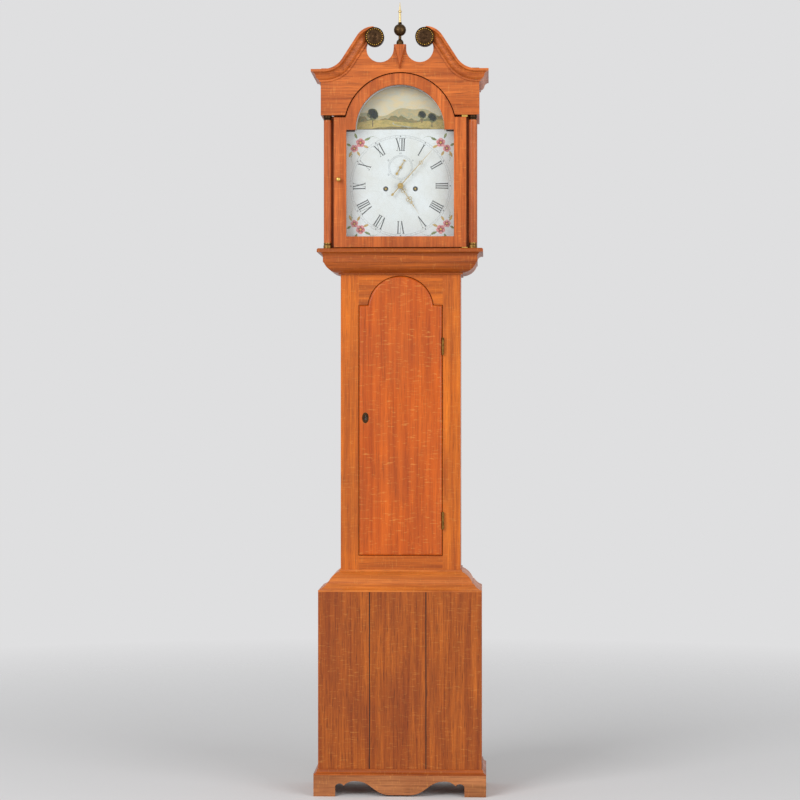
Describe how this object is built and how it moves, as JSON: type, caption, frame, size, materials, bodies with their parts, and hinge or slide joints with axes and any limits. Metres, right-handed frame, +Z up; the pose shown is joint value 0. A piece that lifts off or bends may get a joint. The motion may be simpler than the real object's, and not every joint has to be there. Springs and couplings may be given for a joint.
{
  "type": "longcase clock",
  "caption": "Tall weight-driven clock with an arched dial behind a glazed hood door, a door in the trunk and a seconds pendulum inside.",
  "frame": {"origin": "middle of the footprint, on the floor", "axes": "+Z up, front faces -Y, +X to the viewer's right"},
  "size_m": [0.493, 0.2586, 2.207],
  "materials": {
    "oak": "french polished",
    "pine": "bare",
    "painted_dial": "painted and varnished",
    "brass": "polished",
    "dark_brass": "aged",
    "steel": "polished",
    "iron": "as cast",
    "gut": "gut line",
    "glass": "clear"
  },
  "bodies": {
    "case": {"plinth_boards": "oak", "plinth_moulding": "oak", "base_front_boards": "oak", "base_sides_and_floor": "oak", "base_cap_moulding": "oak", "trunk_stiles": "oak", "trunk_rails": "oak", "trunk_sides": "oak", "backboard": "pine", "throat_moulding": "oak", "trunk_hinges_case": "brass", "seatboard": "pine", "dial": "painted_dial", "dial_feet": "steel", "front_plate": "brass", "back_plate_and_pillars": "brass", "back_cock": "brass", "bell_and_stand": "brass", "going_line": "gut", "striking_line": "gut"},
    "hood": {"hood_base_moulding": "oak", "hood_sides_and_jambs": "oak", "hood_roof_and_frieze": "oak", "hood_fascia": "oak", "swan_neck_cornice": "oak", "rosettes": "dark_brass", "finial_block": "oak", "finial": "dark_brass", "hood_columns": "oak", "column_brasses": "dark_brass", "hood_door_pivots": "brass"},
    "hood_door": {"hood_door_frame": "oak", "hood_door_glass": "glass", "hood_door_knob": "brass"},
    "trunk_door": {"trunk_door": "oak", "trunk_hinges_door": "brass", "keyhole_escutcheon": "brass", "trunk_lock": "iron"},
    "lock_bolt": {"lock_bolt": "steel"},
    "centre_arbor": {"centre_wheel": "brass", "minute_hand": "brass"},
    "hour_pipe": {"hour_wheel": "brass", "hour_hand": "brass"},
    "minute_wheel": {"minute_wheel": "brass"},
    "third_arbor": {"third_wheel": "brass"},
    "escape_arbor": {"escape_wheel": "brass", "seconds_hand": "brass"},
    "going_great_wheel": {"going_great_wheel": "brass"},
    "striking_great_wheel": {"striking_great_wheel": "brass"},
    "pin_wheel": {"strike_pin_wheel": "brass"},
    "warning_wheel": {"warning_wheel": "brass"},
    "fly": {"strike_fly": "brass"},
    "going_barrel": {"going_barrel": "brass"},
    "striking_barrel": {"striking_barrel": "brass"},
    "going_weight": {"going_weight_and_pulley": "iron"},
    "striking_weight": {"striking_weight_and_pulley": "iron"},
    "pendulum": {"pendulum_rod": "steel", "pendulum_bob_and_nut": "brass"},
    "anchor": {"anchor_and_crutch": "steel"},
    "hammer": {"bell_hammer": "steel"}
  },
  "joints": [
    {"name": "hood_slide", "type": "slide", "parent": "case", "child": "hood", "axis": [0, -1, 0], "range_m": [0, 0.25]},
    {"name": "hood_door_swing", "type": "hinge", "parent": "hood", "child": "hood_door", "pos_m": [0.181, -0.09375, 1.7], "axis": [0, 0, 1], "range_deg": [0, 100]},
    {"name": "trunk_door_swing", "type": "hinge", "parent": "case", "child": "trunk_door", "pos_m": [0.1183, -0.05725, 1], "axis": [0, 0, 1], "range_deg": [0, 110]},
    {"name": "lock_bolt_slide", "type": "slide", "parent": "trunk_door", "child": "lock_bolt", "axis": [-1, 0, 0], "range_m": [0, 0.008]},
    {"name": "centre_arbor_turn", "type": "hinge", "parent": "case", "child": "centre_arbor", "pos_m": [0, -0.01315, 1.7], "axis": [0, 1, 0], "continuous": true},
    {"name": "hour_pipe_turn", "type": "hinge", "parent": "case", "child": "hour_pipe", "pos_m": [0, -0.01315, 1.7], "axis": [0, 1, 0], "continuous": true},
    {"name": "minute_wheel_turn", "type": "hinge", "parent": "case", "child": "minute_wheel", "pos_m": [0, -0.01315, 1.6766], "axis": [0, 1, 0], "continuous": true},
    {"name": "third_arbor_turn", "type": "hinge", "parent": "case", "child": "third_arbor", "pos_m": [0.01387, -0.01315, 1.72727], "axis": [0, 1, 0], "continuous": true},
    {"name": "escape_arbor_turn", "type": "hinge", "parent": "case", "child": "escape_arbor", "pos_m": [0, -0.01315, 1.752], "axis": [0, 1, 0], "continuous": true},
    {"name": "going_great_wheel_turn", "type": "hinge", "parent": "case", "child": "going_great_wheel", "pos_m": [0.0415, -0.01315, 1.692], "axis": [0, 1, 0], "continuous": true},
    {"name": "pin_wheel_turn", "type": "hinge", "parent": "case", "child": "pin_wheel", "pos_m": [-0.04884, -0.01315, 1.73362], "axis": [0, 1, 0], "continuous": true},
    {"name": "striking_great_wheel_turn", "type": "hinge", "parent": "case", "child": "striking_great_wheel", "pos_m": [-0.0415, -0.01315, 1.692], "axis": [0, 1, 0], "continuous": true},
    {"name": "warning_wheel_turn", "type": "hinge", "parent": "case", "child": "warning_wheel", "pos_m": [-0.04274, -0.01315, 1.75807], "axis": [0, 1, 0], "continuous": true},
    {"name": "fly_turn", "type": "hinge", "parent": "case", "child": "fly", "pos_m": [-0.03065, -0.01315, 1.77016], "axis": [0, 1, 0], "continuous": true},
    {"name": "going_weight_drop", "type": "slide", "parent": "case", "child": "going_weight", "axis": [0, 0, -1], "range_m": [0, 1.15], "deforming": ["going_line"]},
    {"name": "striking_weight_drop", "type": "slide", "parent": "case", "child": "striking_weight", "axis": [0, 0, -1], "range_m": [0, 1.15], "deforming": ["striking_line"]},
    {"name": "going_barrel_wind", "type": "hinge", "parent": "case", "child": "going_barrel", "pos_m": [0.0415, -0.01315, 1.692], "axis": [0, 1, 0], "range_deg": [0, 5798]},
    {"name": "striking_barrel_wind", "type": "hinge", "parent": "case", "child": "striking_barrel", "pos_m": [-0.0415, -0.01315, 1.692], "axis": [0, 1, 0], "range_deg": [-5798, 0]},
    {"name": "pendulum_swing", "type": "hinge", "parent": "case", "child": "pendulum", "pos_m": [0, 0.06085, 1.78311], "axis": [0, 1, 0], "range_deg": [-2.5, 2.5]},
    {"name": "anchor_rock", "type": "hinge", "parent": "case", "child": "anchor", "pos_m": [0, -0.01315, 1.78311], "axis": [0, 1, 0], "range_deg": [-2.5, 2.5]},
    {"name": "hammer_strike", "type": "hinge", "parent": "case", "child": "hammer", "pos_m": [0.052, -0.01315, 1.762], "axis": [0, 1, 0], "range_deg": [-1.4, 12], "stiffness_Nm_per_rad": 0.05}
  ],
  "couplings": [
    {"joint": "hour_pipe_turn", "follows": "centre_arbor_turn", "ratio": 0.083333},
    {"joint": "minute_wheel_turn", "follows": "centre_arbor_turn", "ratio": -1},
    {"joint": "third_arbor_turn", "follows": "centre_arbor_turn", "ratio": -7.5},
    {"joint": "escape_arbor_turn", "follows": "centre_arbor_turn", "ratio": 60},
    {"joint": "going_great_wheel_turn", "follows": "centre_arbor_turn", "ratio": -0.083333},
    {"joint": "striking_great_wheel_turn", "follows": "pin_wheel_turn", "ratio": -0.083333},
    {"joint": "warning_wheel_turn", "follows": "pin_wheel_turn", "ratio": -8},
    {"joint": "fly_turn", "follows": "pin_wheel_turn", "ratio": 57.143},
    {"joint": "going_barrel_wind", "follows": "going_weight_drop", "rad_per_m": 87.912},
    {"joint": "striking_barrel_wind", "follows": "striking_weight_drop", "rad_per_m": -87.912},
    {"joint": "anchor_rock", "follows": "pendulum_swing", "ratio": 1}
  ]
}
